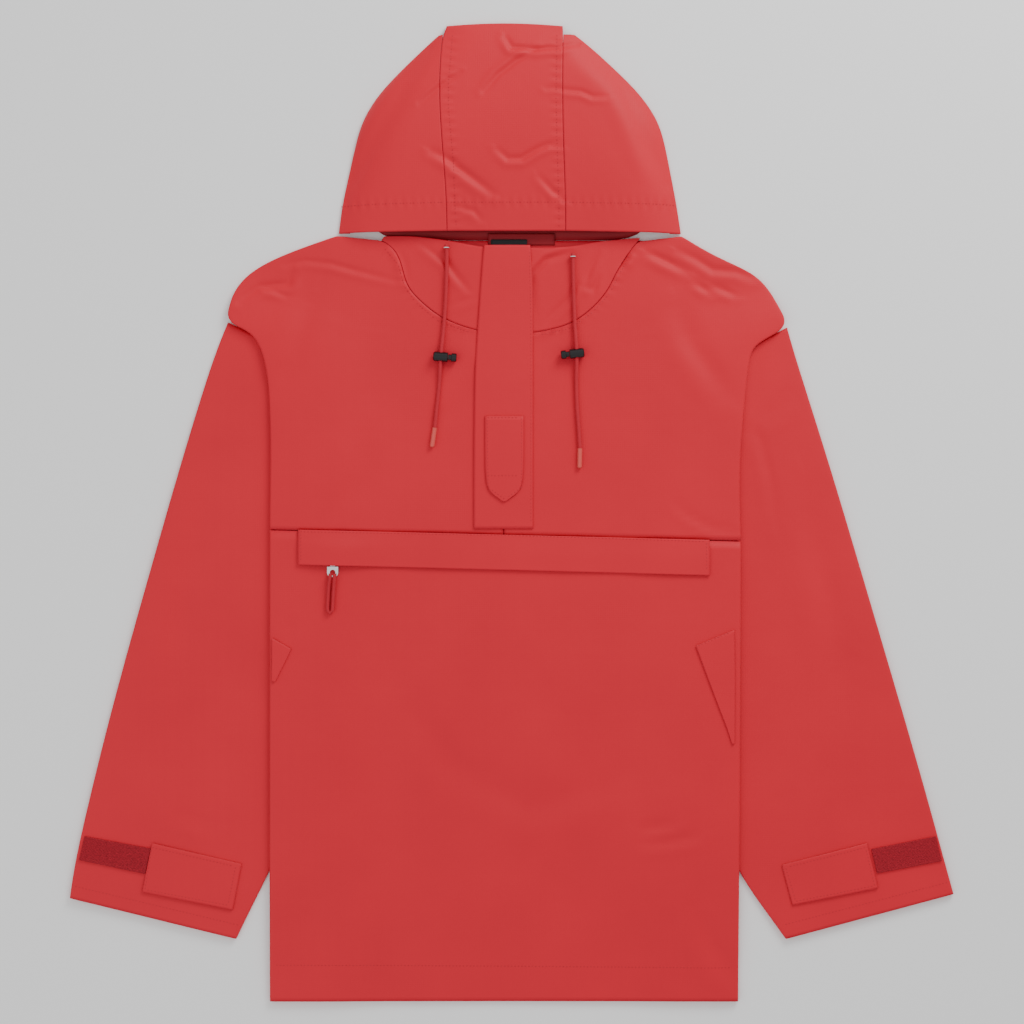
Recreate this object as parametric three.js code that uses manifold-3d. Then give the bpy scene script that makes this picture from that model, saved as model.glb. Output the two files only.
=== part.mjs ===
// A hooded pullover parka laid flat, face up, with its hood spread above the neck.
// Millimetres, +Z up. The origin is on the surface it lies on, in the middle of its outline;
// +Y runs from the hem to the hood. "Left" and "right" are as seen from above.

import * as THREE from 'three';
import { mergeVertices } from 'three/addons/utils/BufferGeometryUtils.js';
import Module from 'manifold-3d';

const wasm = await Module();
wasm.setup();

// ---------------------------------------------------------------- driving dimensions

const CLOTH = 1.2;            // wall of every cloth panel
const LAYER_GAP = 0.9;        // air between two layers that lie on each other
const SEAM_GAP = 0.3;         // between two pieces sewn edge to edge
const TRIM_GAP = 0.5;         // between a panel and the trim that lies on it
const BODY_MIDDLE = -8;       // x of the front's centre line
const HEM_Y = -498.3;         // lower edge of front and back
const SIDE_LAP = 60;          // how far the front turns under at each side fold
const SHOULDER_LAP = 6;       // how far it turns under along the shoulder
const SLEEVE_THIN = 3.0;      // flattened sleeve where the body lies on it
const SLEEVE_FULL = 5.5;      // flattened sleeve in the open
const CORD_DIAMETER = 4.0;    // hood drawcord
const LOCK_DIAMETER = 9.6;    // barrel of a cord lock
const LOCK_BARREL = 15;       // its length
const EYELET = { outer: 3.2, inner: 2.4, thick: 0.8 };
const TIP = { radius: 2.4, length: 20 };
const PULL_TAB = { width: 11.2, length: 10.4, thick: 1.6, hole: 2.9 };
const PULL_X = -181.8;        // middle of the pocket zip's pull tab

// The fold down each side of the body, where the front turns under.
const SIDE_FOLD = [
  { y: 240, left: -256, right: 251 },
  { y: 171, left: -251, right: 243 },
  { y: 85, left: -244.5, right: 234 },
  { y: 40, left: -246, right: 231 },
  { y: -34, left: -246.6, right: 233.5 },
  { y: -500, left: -246.6, right: 231 },
];

// Each sleeve is a flattened tube. A row is one line across it, from the outer fold to the
// inner fold, the armhole seam first and the cuff last.
const SLEEVE = {
  left: [
    { outX: -289.4, outY: 193.2, inX: -190, inY: 150 },
    { outX: -305, outY: 155, inX: -190, inY: 108 },
    { outX: -330, outY: 74, inX: -190, inY: 30 },
    { outX: -354, outY: -8, inX: -190, inY: -50 },
    { outX: -377, outY: -90, inX: -191, inY: -135 },
    { outX: -400, outY: -171, inX: -198, inY: -222 },
    { outX: -421, outY: -253, inX: -220, inY: -305 },
    { outX: -438, outY: -324, inX: -249, inY: -371 },
    { outX: -446, outY: -362, inX: -268, inY: -409 },
    { outX: -450.4, outY: -393, inX: -280.2, inY: -434.8 },
  ],
  right: [
    { outX: 280.8, outY: 188.1, inX: 175, inY: 134 },
    { outX: 289.5, outY: 157, inX: 175, inY: 92 },
    { outX: 316, outY: 74, inX: 175, inY: 20 },
    { outX: 341, outY: -8, inX: 175, inY: -62 },
    { outX: 365, outY: -90, inX: 176, inY: -142 },
    { outX: 389, outY: -171, inX: 184, inY: -228 },
    { outX: 413, outY: -253, inX: 205, inY: -313 },
    { outX: 432.6, outY: -324, inX: 234, inY: -372 },
    { outX: 443, outY: -362, inX: 258, inY: -406 },
    { outX: 450.4, outY: -388.9, inX: 278.7, inY: -434.8 },
  ],
};

// The upper front, each half. A row is a line from the shoulder, armhole or side fold to the
// neckline seam, and below the neckline to the front opening under the placket.
const UPPER_FRONT = {
  left: [
    { sideX: -179, sideY: 281.2, neckX: -132.3, neckY: 276.6, lap: SHOULDER_LAP },
    { sideX: -214, sideY: 269, neckX: -119.1, neckY: 268, lap: SHOULDER_LAP },
    { sideX: -245, sideY: 256.5, neckX: -111.9, neckY: 251.7, lap: SHOULDER_LAP },
    { sideX: -270, sideY: 241, neckX: -105.8, neckY: 229.2, lap: SHOULDER_LAP },
    { sideX: -283, sideY: 224, neckX: -93.6, neckY: 216, lap: SHOULDER_LAP },
    { sideX: -288, sideY: 208, neckX: -73.2, neckY: 198.6, lap: SHOULDER_LAP },
    { sideX: -289.4, sideY: 193.8, neckX: -38.5, neckY: 185.4, lap: SHOULDER_LAP },
    { sideX: -260.9, sideY: 181.8, neckX: -8.4, neckY: 181, lap: SIDE_LAP },
  ],
  right: [
    { sideX: 174, sideY: 280.8, neckX: 128, neckY: 275.4, lap: SHOULDER_LAP },
    { sideX: 205, sideY: 262, neckX: 118.6, neckY: 264, lap: SHOULDER_LAP },
    { sideX: 232, sideY: 250, neckX: 105.3, neckY: 242.5, lap: SHOULDER_LAP },
    { sideX: 253, sideY: 237.5, neckX: 97.2, neckY: 225.2, lap: SHOULDER_LAP },
    { sideX: 266, sideY: 220, neckX: 79.8, neckY: 205.8, lap: SHOULDER_LAP },
    { sideX: 274, sideY: 205, neckX: 57.4, neckY: 190.5, lap: SHOULDER_LAP },
    { sideX: 280.8, sideY: 188.7, neckX: 25.8, neckY: 183.3, lap: SHOULDER_LAP },
    { sideX: 245.1, sideY: 170.6, neckX: -7.6, neckY: 180, lap: SIDE_LAP },
  ],
};
const UPPER_FRONT_ROWS_BELOW = [150, 110, 60, 15];   // y of the plain rows below the neckline
const CHEST_SEAM = { left: -17.5, right: -29 };      // y of the seam at each side fold

// Top edge of the collar on each side: the free lower edge of the hood's face opening.
const COLLAR_EDGE = {
  left: [
    { x: -130, y: 280.6 }, { x: -118, y: 280.8 }, { x: -103, y: 280.8 }, { x: -88, y: 279.6 },
    { x: -70, y: 277 }, { x: -50, y: 273.6 }, { x: -30, y: 269.5 }, { x: -8.4, y: 269 },
  ],
  right: [
    { x: 131, y: 279 }, { x: 121, y: 278.6 }, { x: 108, y: 277.2 }, { x: 94, y: 276 },
    { x: 78, y: 273.6 }, { x: 60, y: 270 }, { x: 36, y: 269 }, { x: -7.6, y: 269 },
  ],
};

// The hood, spread upwards. "seam" columns are the two seams beside its centre panel, "left"
// and "right" the outline, and "crest" the height of its ridge above the surface.
const HOOD = [
  { y: 285.4, left: -176.4, leftY: 283.6, seamL: -65.5, seamR: 54.3, right: 172.6, rightY: 283.2, crest: 14.5 },
  { y: 312, left: -173, leftY: 312, seamL: -66, seamR: 54.3, right: 168.4, rightY: 312, crest: 17 },
  { y: 340, left: -166.6, leftY: 340, seamL: -67.5, seamR: 53.5, right: 163, rightY: 340, crest: 19 },
  { y: 369, left: -160.4, leftY: 369, seamL: -70, seamR: 52.3, right: 157.4, rightY: 369, crest: 20 },
  { y: 397, left: -153.4, leftY: 397, seamL: -72, seamR: 51.6, right: 150.8, rightY: 397, crest: 20 },
  { y: 425, left: -137, leftY: 424.6, seamL: -73.2, seamR: 51.3, right: 132, rightY: 425, crest: 18.5 },
  { y: 450, left: -112.6, leftY: 450, seamL: -72.8, seamR: 51.5, right: 106.5, rightY: 450, crest: 16 },
  { y: 472, left: -89.6, leftY: 472, seamL: -71.5, seamR: 52, right: 82.5, rightY: 472, crest: 12.5 },
  { y: 486, left: -74.6, leftY: 485.8, seamL: -69.8, seamR: 52.3, right: 64.5, rightY: 486.4, crest: 8.5 },
];
const HOOD_TOP_Y = 498.3;
const HOOD_EDGE_HEIGHT = 3.2;    // height of the rolled edge along the outline
const HOOD_RISE = 45;            // from the outline in to the ridge's full height
const HOOD_LAP = 10;             // how far each side turns under

// Cord routes, from the eyelet to the tip: the points lie on the cloth, and lift at the lock.
const CORD_ROUTE = {
  left: [
    { x: -66.4, y: 271.6, z: 10.2 }, { x: -66.2, y: 268.5, z: 10.2 }, { x: -66, y: 262, z: 9.8 },
    { x: -66, y: 250, z: 9.2 }, { x: -66.4, y: 234, z: 8.9 }, { x: -67.1, y: 216, z: 8.4 },
    { x: -68.2, y: 200, z: 7.9 }, { x: -69.4, y: 184, z: 7.9 }, { x: -70.8, y: 172, z: 9.2 },
    { x: -72.2, y: 157.8, z: 10.4 }, { x: -72.8, y: 144, z: 9.2 }, { x: -73.4, y: 132, z: 7.7 },
    { x: -75, y: 116, z: 7.5 }, { x: -76.6, y: 102, z: 7.5 }, { x: -78.2, y: 86, z: 7.5 },
  ],
  right: [
    { x: 62.2, y: 262.6, z: 9.9 }, { x: 62.3, y: 259.5, z: 9.9 }, { x: 62.4, y: 252, z: 9.4 },
    { x: 62.6, y: 240, z: 8.9 }, { x: 63, y: 224, z: 8.4 }, { x: 63.6, y: 206, z: 7.9 },
    { x: 64.2, y: 190, z: 7.9 }, { x: 65.2, y: 177, z: 9.2 }, { x: 66.2, y: 161.2, z: 10.4 },
    { x: 66, y: 147, z: 9.2 }, { x: 65.6, y: 134.4, z: 7.7 }, { x: 66, y: 118, z: 7.5 },
    { x: 66.8, y: 102, z: 7.5 }, { x: 68.2, y: 84, z: 7.5 }, { x: 69.4, y: 65, z: 7.5 },
  ],
};
const LOCK = {
  left: { x: -72.2, y: 157.8, z: 10.4, tilt: -4, barrelSide: -1 },
  right: { x: 66.2, y: 161.2, z: 10.4, tilt: 6, barrelSide: 1 },
};
const TIP_END = { left: { x: -81.2, y: 65.5, z: 7.6 }, right: { x: 69.0, y: 44.5, z: 7.6 } };

const RED = 0xd01028;
const DARK_RED = 0xa90d20;
const BLACK = 0x121214;

// ---------------------------------------------------------------- small helpers

const SIDES = { left: -1, right: 1 };
const mix = (from, to, share) => from + (to - from) * share;

function smooth(from, to, value) {
  const share = Math.min(1, Math.max(0, (value - from) / (to - from)));
  return share * share * (3 - 2 * share);
}

// Straight interpolation down one column of a table whose rows are in order of `key`.
function lookUp(table, key, value, column) {
  const rising = table[table.length - 1][key] > table[0][key];
  const rows = rising ? table : [...table].reverse();
  const next = rows.findIndex((row) => row[key] >= value);
  if (next === 0) return rows[0][column];
  if (next < 0) return rows[rows.length - 1][column];
  const [low, high] = [rows[next - 1], rows[next]];
  return mix(low[column], high[column], (value - low[key]) / (high[key] - low[key]));
}

// A smooth line through one pair of columns of a table, read at `count` even steps of row.
function edgeLine(table, xColumn, yColumn, count) {
  const curve = new THREE.CatmullRomCurve3(
    table.map((row) => new THREE.Vector3(row[xColumn], row[yColumn], 0)), false, 'centripetal');
  return Array.from({ length: count }, (_, i) => curve.getPoint(i / (count - 1)));
}

// ---------------------------------------------------------------- heights of the layers

const foldX = (side, y) => lookUp(SIDE_FOLD, 'y', y, side);

// Distance from the side fold towards the middle of the body; negative outside it.
const insideFold = (side, x, y) => -SIDES[side] * (x - foldX(side, y));

const nearerSide = (x) => (x < BODY_MIDDLE ? 'left' : 'right');

function sleeveTop(side, x, y) {
  const open = 1 - smooth(-112, -32, insideFold(side, x, y));
  const pastBody = smooth(-372, -430, y);
  return mix(SLEEVE_THIN, SLEEVE_FULL, 1 - (1 - open) * (1 - pastBody));
}

// How much the hidden part of a sleeve lifts the body layers above it.
function sleeveUnder(x, y) {
  const side = nearerSide(x);
  const rows = SLEEVE[side];
  const cuff = rows[rows.length - 1];
  const belowCuff = Math.max(0, cuff.inY - y);
  const innerX = lookUp(rows, 'inY', y, 'inX') + SIDES[side] * belowCuff * 0.6;
  const pastInner = -SIDES[side] * (x - innerX);
  const shoulder = rows[0];
  const seamSlope = (shoulder.inY - shoulder.outY) / (shoulder.inX - shoulder.outX);
  const seamY = shoulder.outY + seamSlope * (x - shoulder.outX);
  return SLEEVE_THIN * (1 - smooth(6, 80, pastInner)) * (1 - smooth(4, 70, y - seamY));
}

const lapBottom = (x, y) => sleeveUnder(x, y) * (1 + LAYER_GAP / SLEEVE_THIN);

function backBottom(x, y) {
  const inside = insideFold(nearerSide(x), x, y);
  const onLap = (1 - smooth(SIDE_LAP + 6, SIDE_LAP + 60, inside)) * (1 - smooth(190, 240, y));
  return lapBottom(x, y) + (CLOTH + LAYER_GAP) * onLap;
}

function frontBottom(x, y) {
  const across = Math.min(1, Math.abs(x - BODY_MIDDLE) / 235);
  const shoulderLine = 283 - 0.45 * Math.max(0, Math.abs(x - BODY_MIDDLE) - 170);
  const belowShoulder = smooth(0, 70, shoulderLine - y);
  const aboveHem = smooth(HEM_Y - 40, HEM_Y + 160, y);
  const puff = 1.8 * (1 - across ** 2) * belowShoulder * aboveHem;
  const collarRise = 4.2 * Math.exp(-(((x - BODY_MIDDLE) / 105) ** 2) - ((y - 272) / 48) ** 2);
  return backBottom(x, y) + CLOTH + LAYER_GAP + puff + collarRise;
}

const frontTop = (x, y) => frontBottom(x, y) + CLOTH;

function hoodTop(x, y) {
  const crest = lookUp(HOOD, 'y', y, 'crest');
  const inLeft = x - lookUp(HOOD, 'y', y, 'left');
  const inRight = lookUp(HOOD, 'y', y, 'right') - x;
  const share = Math.min(1, Math.max(0, Math.min(inLeft, inRight) / HOOD_RISE));
  return mix(HOOD_EDGE_HEIGHT, crest, 1 - (1 - share) ** 2);
}

// ---------------------------------------------------------------- building solids

// A closed wall between two matching grids of points. A wrapped grid is a tube.
function wallBetween(outer, inner, wrapped = false) {
  const rows = outer.length;
  const columns = outer[0].length;
  const points = [...outer.flat(), ...inner.flat()];
  const at = (layer, row, column) => (layer * rows + row) * columns + (column % columns);
  const faces = [];
  const quad = (a, b, c, d) => faces.push(a, b, c, a, c, d);
  const spans = wrapped ? columns : columns - 1;
  for (let row = 0; row < rows - 1; row += 1) {
    for (let column = 0; column < spans; column += 1) {
      quad(at(0, row, column), at(0, row, column + 1), at(0, row + 1, column + 1), at(0, row + 1, column));
      quad(at(1, row, column), at(1, row + 1, column), at(1, row + 1, column + 1), at(1, row, column + 1));
    }
  }
  const last = rows - 1;
  for (let column = 0; column < spans; column += 1) {
    quad(at(0, 0, column), at(1, 0, column), at(1, 0, column + 1), at(0, 0, column + 1));
    quad(at(0, last, column), at(0, last, column + 1), at(1, last, column + 1), at(1, last, column));
  }
  if (!wrapped) {
    const edge = columns - 1;
    for (let row = 0; row < last; row += 1) {
      quad(at(0, row, 0), at(0, row + 1, 0), at(1, row + 1, 0), at(1, row, 0));
      quad(at(0, row, edge), at(1, row, edge), at(1, row + 1, edge), at(0, row + 1, edge));
    }
  }
  return facingOut(points, faces);
}

// The geometry of a closed body, turned so that its faces point outwards.
function facingOut(points, faces) {
  let volume = 0;
  const cross = new THREE.Vector3();
  for (let i = 0; i < faces.length; i += 3) {
    const [a, b, c] = [points[faces[i]], points[faces[i + 1]], points[faces[i + 2]]];
    volume += a.dot(cross.crossVectors(b, c));
  }
  if (volume < 0) faces.reverse();
  const geometry = new THREE.BufferGeometry();
  geometry.setAttribute('position', new THREE.Float32BufferAttribute(points.flatMap((p) => [p.x, p.y, p.z]), 3));
  geometry.setIndex(faces);
  return geometry;
}

// A wall laid on a surface: lines across it, each cut into even steps, and its height by place.
function laidWall(lines, steps, bottomAt, thick = CLOTH) {
  const grid = lines.map(({ from, to }) => Array.from({ length: steps + 1 }, (_, i) => {
    const x = mix(from.x, to.x, i / steps);
    const y = mix(from.y, to.y, i / steps);
    return new THREE.Vector3(x, y, bottomAt(x, y));
  }));
  const lifted = grid.map((row) => row.map((p) => new THREE.Vector3(p.x, p.y, p.z + thick)));
  return wallBetween(lifted, grid);
}

// The outer and inner points of a rolled edge. It starts `lap` inside the edge, at the
// bottom, and rolls out and up to the top surface. `inward` points from the edge across.
function rolledEdge(edge, inward, lap, bottomAt, top) {
  const bottom = bottomAt(edge.x, edge.y);
  const radius = (top - bottom) / 2;
  const centre = bottom + radius;
  const place = (distance, z) => new THREE.Vector3(
    edge.x + inward.x * distance, edge.y + inward.y * distance, z);
  const outer = [];
  const inner = [];
  for (const share of [1, 0.5]) {
    const flat = place(radius + lap * share, 0);
    flat.z = bottomAt(flat.x, flat.y);
    outer.push(flat);
    inner.push(flat.clone().setZ(flat.z + CLOTH));
  }
  for (const degrees of [-90, -45, 0, 45, 90]) {
    const angle = THREE.MathUtils.degToRad(degrees);
    const small = radius - CLOTH;
    outer.push(place(radius - radius * Math.cos(angle), centre + radius * Math.sin(angle)));
    inner.push(place(radius - small * Math.cos(angle), centre + small * Math.sin(angle)));
  }
  return { outer, inner, radius };
}

const unit = (from, to) => new THREE.Vector3().subVectors(to, from).setZ(0).normalize();

function toManifold(geometry) {
  const bare = geometry.clone();
  bare.deleteAttribute('normal');
  bare.deleteAttribute('uv');
  const merged = mergeVertices(bare, 1e-4);
  return new wasm.Manifold(new wasm.Mesh({
    numProp: 3,
    vertProperties: new Float32Array(merged.attributes.position.array),
    triVerts: new Uint32Array(merged.index.array),
  }));
}

function fromManifold(solid) {
  const mesh = solid.getMesh();
  const geometry = new THREE.BufferGeometry();
  geometry.setAttribute('position', new THREE.BufferAttribute(new Float32Array(mesh.vertProperties), 3));
  geometry.setIndex(new THREE.BufferAttribute(new Uint32Array(mesh.triVerts), 1));
  return geometry;
}

function roundCord(points, radius, steps, sides = 8) {
  const route = new THREE.CatmullRomCurve3(
    points.map((p) => new THREE.Vector3(p.x, p.y, p.z)), false, 'centripetal');
  const section = new THREE.Shape(Array.from({ length: sides }, (_, i) => {
    const angle = (i + 0.5) / sides * 2 * Math.PI;
    return new THREE.Vector2(radius * Math.cos(angle), radius * Math.sin(angle));
  }));
  return new THREE.ExtrudeGeometry(section, { steps, extrudePath: route });
}

// A turned solid whose axis lies along +X, from a profile of distance along and radius.
function turned(profile, sides = 20) {
  const lathe = new THREE.LatheGeometry(
    profile.map(({ along, radius }) => new THREE.Vector2(radius, along)), sides);
  return lathe.rotateZ(-Math.PI / 2);
}

const group = new THREE.Group();
group.name = 'parka';

function addPiece(name, geometry, color, roughness = 0.75, metalness = 0) {
  const material = new THREE.MeshStandardMaterial({ color, roughness, metalness });
  const mesh = new THREE.Mesh(geometry, material);
  mesh.name = name;
  group.add(mesh);
  return mesh;
}

// ---------------------------------------------------------------- sleeves

// One ring of a flattened tube: flat below, its two folds rounded, its top at the height
// that `topAt` gives. `inset` is 0 for the outside and the cloth's thickness for the inside.
function sleeveRing(from, to, steps, topAt, inset) {
  const across = unit(from, to);
  const width = from.distanceTo(to);
  const place = (distance, z) => new THREE.Vector3(
    from.x + across.x * distance, from.y + across.y * distance, z);
  const radiusFrom = topAt(from.x, from.y) / 2;
  const radiusTo = topAt(to.x, to.y) / 2;
  const run = Array.from({ length: steps + 1 }, (_, i) => mix(radiusFrom, width - radiusTo, i / steps));
  const ring = run.map((distance) => place(distance, inset));
  for (const degrees of [-45, 0, 45]) {
    const angle = THREE.MathUtils.degToRad(degrees);
    const small = radiusTo - inset;
    ring.push(place(width - radiusTo + small * Math.cos(angle), radiusTo + small * Math.sin(angle)));
  }
  for (const distance of [...run].reverse()) {
    const p = place(distance, 0);
    const ends = distance === run[0] ? radiusFrom * 2 : radiusTo * 2;
    const top = distance === run[0] || distance === run[steps] ? ends : topAt(p.x, p.y);
    ring.push(place(distance, top - inset));
  }
  for (const degrees of [135, 180, 225]) {
    const angle = THREE.MathUtils.degToRad(degrees);
    const small = radiusFrom - inset;
    ring.push(place(radiusFrom + small * Math.cos(angle), radiusFrom + small * Math.sin(angle)));
  }
  return ring;
}

function makeSleeve(side) {
  const rings = 11;
  const steps = 7;
  const outEdge = edgeLine(SLEEVE[side], 'outX', 'outY', rings);
  const inEdge = edgeLine(SLEEVE[side], 'inX', 'inY', rings);
  const topAt = (x, y) => sleeveTop(side, x, y);
  const ringsAt = (inset) => outEdge.map((from, i) => sleeveRing(from, inEdge[i], steps, topAt, inset));
  return wallBetween(ringsAt(0), ringsAt(CLOTH), true);
}

// ---------------------------------------------------------------- body

const LOWER_BODY_ROWS = [-100, -180, -250, -305, -345, -385, -425, -462, HEM_Y];   // y of rows
const BODY_STEPS_IN = [34, 62, 90, 125, 165, 205];   // columns, as distances in from a fold

// Columns across the body between two side points, the same for front and back.
function bodyColumns(left, right) {
  const scale = Math.min(1, (right - left) / 470);
  const fromLeft = BODY_STEPS_IN.map((distance) => left + distance * scale);
  const fromRight = BODY_STEPS_IN.map((distance) => right - distance * scale).reverse();
  return [...fromLeft, ...fromRight];
}

function makeLowerFront() {
  const heights = [null, ...LOWER_BODY_ROWS];
  const outer = [];
  const inner = [];
  for (const y of heights) {
    const rowY = (x) => y ?? mix(CHEST_SEAM.left, CHEST_SEAM.right, (x - foldX('left', 0)) / 480) - 4 * SEAM_GAP;
    const slope = y === null ? (CHEST_SEAM.right - CHEST_SEAM.left) / 480 : 0;
    const leftX = foldX('left', y ?? CHEST_SEAM.left);
    const rightX = foldX('right', y ?? CHEST_SEAM.right);
    const ends = {};
    for (const [side, x] of [['left', leftX], ['right', rightX]]) {
      const edge = { x, y: rowY(x) };
      const inward = { x: -SIDES[side], y: -SIDES[side] * slope };
      ends[side] = rolledEdge(edge, inward, SIDE_LAP, lapBottom, frontTop(x, edge.y));
    }
    const middle = bodyColumns(leftX, rightX);
    const top = middle.map((x) => new THREE.Vector3(x, rowY(x), frontTop(x, rowY(x))));
    const under = middle.map((x) => new THREE.Vector3(x, rowY(x), frontBottom(x, rowY(x))));
    outer.push([...ends.left.outer, ...top, ...ends.right.outer.reverse()]);
    inner.push([...ends.left.inner, ...under, ...ends.right.inner.reverse()]);
  }
  return wallBetween(outer, inner);
}

// The neckline seam points of one upper front half, and of the collar piece sewn to it.
const NECK_ROWS = 11;
const neckSeam = (side) => edgeLine(UPPER_FRONT[side], 'neckX', 'neckY', NECK_ROWS);

function makeUpperFront(side) {
  const table = UPPER_FRONT[side];
  const opening = table[table.length - 1].neckX;
  const neckEdge = neckSeam(side).map((p) => new THREE.Vector3(
    Math.abs(p.x - opening) < 0.1 ? p.x : p.x + SIDES[side] * SEAM_GAP, p.y - SEAM_GAP, 0));
  const sideEdge = edgeLine(table, 'sideX', 'sideY', NECK_ROWS);
  const rows = sideEdge.map((edge, i) => {
    const place = i / (NECK_ROWS - 1) * (table.length - 1);
    const row = Math.min(table.length - 2, Math.floor(place));
    return { edge, inner: neckEdge[i], lap: mix(table[row].lap, table[row + 1].lap, place - row) };
  });
  for (const y of [...UPPER_FRONT_ROWS_BELOW, null]) {
    const sideY = y ?? CHEST_SEAM[side];
    const middleY = y ?? (CHEST_SEAM.left + CHEST_SEAM.right) / 2;
    rows.push({
      edge: new THREE.Vector3(foldX(side, sideY), sideY, 0),
      inner: new THREE.Vector3(opening, middleY, 0),
      lap: SIDE_LAP,
    });
  }
  const steps = 7;
  const outer = [];
  const inner = [];
  for (const { edge, inner: end, lap } of rows) {
    const roll = rolledEdge(edge, unit(edge, end), lap, lapBottom, frontTop(edge.x, edge.y));
    const start = roll.outer[roll.outer.length - 1];
    const line = Array.from({ length: steps }, (_, i) => new THREE.Vector3().lerpVectors(start, end, (i + 1) / steps));
    outer.push([...roll.outer, ...line.map((p) => new THREE.Vector3(p.x, p.y, frontTop(p.x, p.y)))]);
    inner.push([...roll.inner, ...line.map((p) => new THREE.Vector3(p.x, p.y, frontBottom(p.x, p.y)))]);
  }
  return wallBetween(outer, inner);
}

function makeBack() {
  const shoulders = [
    { y: 276.6, left: -160, right: 150 },
    { y: 262, left: -200, right: 180 },
    { y: 246, left: -238, right: 212 },
    { y: 226, left: -262, right: 240 },
    { y: 204, left: -274, right: 258 },
    { y: 186, left: -248, right: 236 },
  ];
  const plain = [150, 110, 60, 15, -25, ...LOWER_BODY_ROWS]
    .map((y) => ({ y, left: foldX('left', y) + 6, right: foldX('right', y) - 6 }));
  const rows = [...shoulders, ...plain].map(({ y, left, right }) => {
    const columns = [left, ...bodyColumns(left - 6, right + 6), right];
    return columns.map((x) => new THREE.Vector3(x, y, backBottom(x, y)));
  });
  const lifted = rows.map((row) => row.map((p) => new THREE.Vector3(p.x, p.y, p.z + CLOTH)));
  return wallBetween(lifted, rows);
}

// The part of the hood that comes down in front of the neck, from the face opening's lower
// edge to the neckline seam.
function makeHoodNeck(side) {
  const seam = neckSeam(side);
  const edge = edgeLine(COLLAR_EDGE[side], 'x', 'y', NECK_ROWS);
  const lines = edge.map((from, i) => ({ from, to: seam[i] }));
  return laidWall(lines, 5, frontBottom);
}

// ---------------------------------------------------------------- hood

function makeHoodSide(side) {
  const rows = 9;
  const seamColumn = side === 'left' ? 'seamL' : 'seamR';
  const seam = edgeLine(HOOD, seamColumn, 'y', rows);
  const outline = edgeLine(HOOD, side, `${side}Y`, rows);
  const steps = 5;
  const outer = [];
  const inner = [];
  seam.forEach((seamPoint, i) => {
    const end = new THREE.Vector3(seamPoint.x + SIDES[side] * SEAM_GAP, seamPoint.y, 0);
    const width = outline[i].distanceTo(end);
    const lap = Math.min(HOOD_LAP, width * 0.15);
    const roll = rolledEdge(outline[i], unit(outline[i], end), lap, () => 0, HOOD_EDGE_HEIGHT);
    const start = roll.outer[roll.outer.length - 1];
    const line = Array.from({ length: steps }, (_, k) => new THREE.Vector3().lerpVectors(
      start, end, ((k + 1) / steps) ** 1.4));
    outer.push([...roll.outer, ...line.map((p) => new THREE.Vector3(p.x, p.y, hoodTop(p.x, p.y)))]);
    inner.push([...roll.inner, ...line.map((p) => new THREE.Vector3(p.x, p.y, hoodTop(p.x, p.y) - CLOTH))]);
  });
  return wallBetween(outer, inner);
}

function makeHoodCentre() {
  const rows = 9;
  const left = edgeLine(HOOD, 'seamL', 'y', rows);
  const right = edgeLine(HOOD, 'seamR', 'y', rows);
  const steps = 5;
  const columns = Array.from({ length: steps + 1 }, (_, k) => k / steps);
  const flat = left.map((from, i) => columns.map((share) => new THREE.Vector3().lerpVectors(from, right[i], share)));
  const outer = flat.map((row) => row.map((p) => new THREE.Vector3(p.x, p.y, hoodTop(p.x, p.y))));
  const inner = outer.map((row) => row.map((p) => p.clone().setZ(p.z - CLOTH)));
  // The crown rolls over the top of the outline and under.
  const topRadius = 2.4;
  const crown = columns.map((share) => {
    const x = mix(-66.5, 52, share);
    return { x, y: HOOD_TOP_Y - 3 * (2 * share - 1) ** 2 };
  });
  for (const degrees of [90, 45, 0, -45, -90]) {
    const angle = THREE.MathUtils.degToRad(degrees);
    const place = (p, radius) => new THREE.Vector3(
      p.x, p.y - topRadius + radius * Math.cos(angle), topRadius + radius * Math.sin(angle));
    outer.push(crown.map((p) => place(p, topRadius)));
    inner.push(crown.map((p) => place(p, topRadius - CLOTH)));
  }
  outer.push(crown.map((p) => new THREE.Vector3(p.x, p.y - topRadius - 3, 0)));
  inner.push(crown.map((p) => new THREE.Vector3(p.x, p.y - topRadius - 3, CLOTH)));
  return wallBetween(outer, inner);
}

// The hidden under layer of the hood, from the back of the neck to the crown.
function makeHoodBack() {
  const inset = HOOD_LAP + 5;
  const lines = [{ y: 277, left: -150, right: 146 }, ...HOOD.slice(1, 8)].map(({ y, left, right }) => ({
    from: { x: left + inset, y },
    to: { x: right - inset, y },
  }));
  return laidWall(lines, 6, () => 0);
}

// ---------------------------------------------------------------- trim laid on the panels

const line = (fromX, fromY, toX, toY) => ({ from: { x: fromX, y: fromY }, to: { x: toX, y: toY } });
const onFront = (x, y) => frontTop(x, y) + TRIM_GAP;
const onPlacket = (x, y) => onFront(x, y) + CLOTH + TRIM_GAP;

function makePlacket() {
  const rows = [
    { y: 271.5, left: -28.3, right: 18.8 },
    { y: 250, left: -30.2, right: 20.6 },
    { y: 225, left: -32, right: 21.2 },
    { y: 200, left: -33.8, right: 21.7 },
    { y: 170, left: -36, right: 21.7 },
    { y: 140, left: -37.6, right: 21.7 },
    { y: 95, left: -38.2, right: 21.7 },
    { y: 50, left: -38.4, right: 21.7 },
    { y: 10, left: -38.5, right: 21.7 },
    { y: -17, left: -38.5, right: 21.7 },
  ];
  return laidWall(rows.map(({ y, left, right }) => line(left, y, right, y)), 3, onFront);
}

function makePlacketTab() {
  const middle = -7.6;
  const rows = [
    { y: 97.7, half: 19.7 }, { y: 60, half: 19.7 }, { y: 23.7, half: 19.2 }, { y: 17, half: 10 }, { y: 10.6, half: 1.2 },
  ];
  return laidWall(rows.map(({ y, half }) => line(middle - half, y, middle + half, y)), 2, onPlacket);
}

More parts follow.
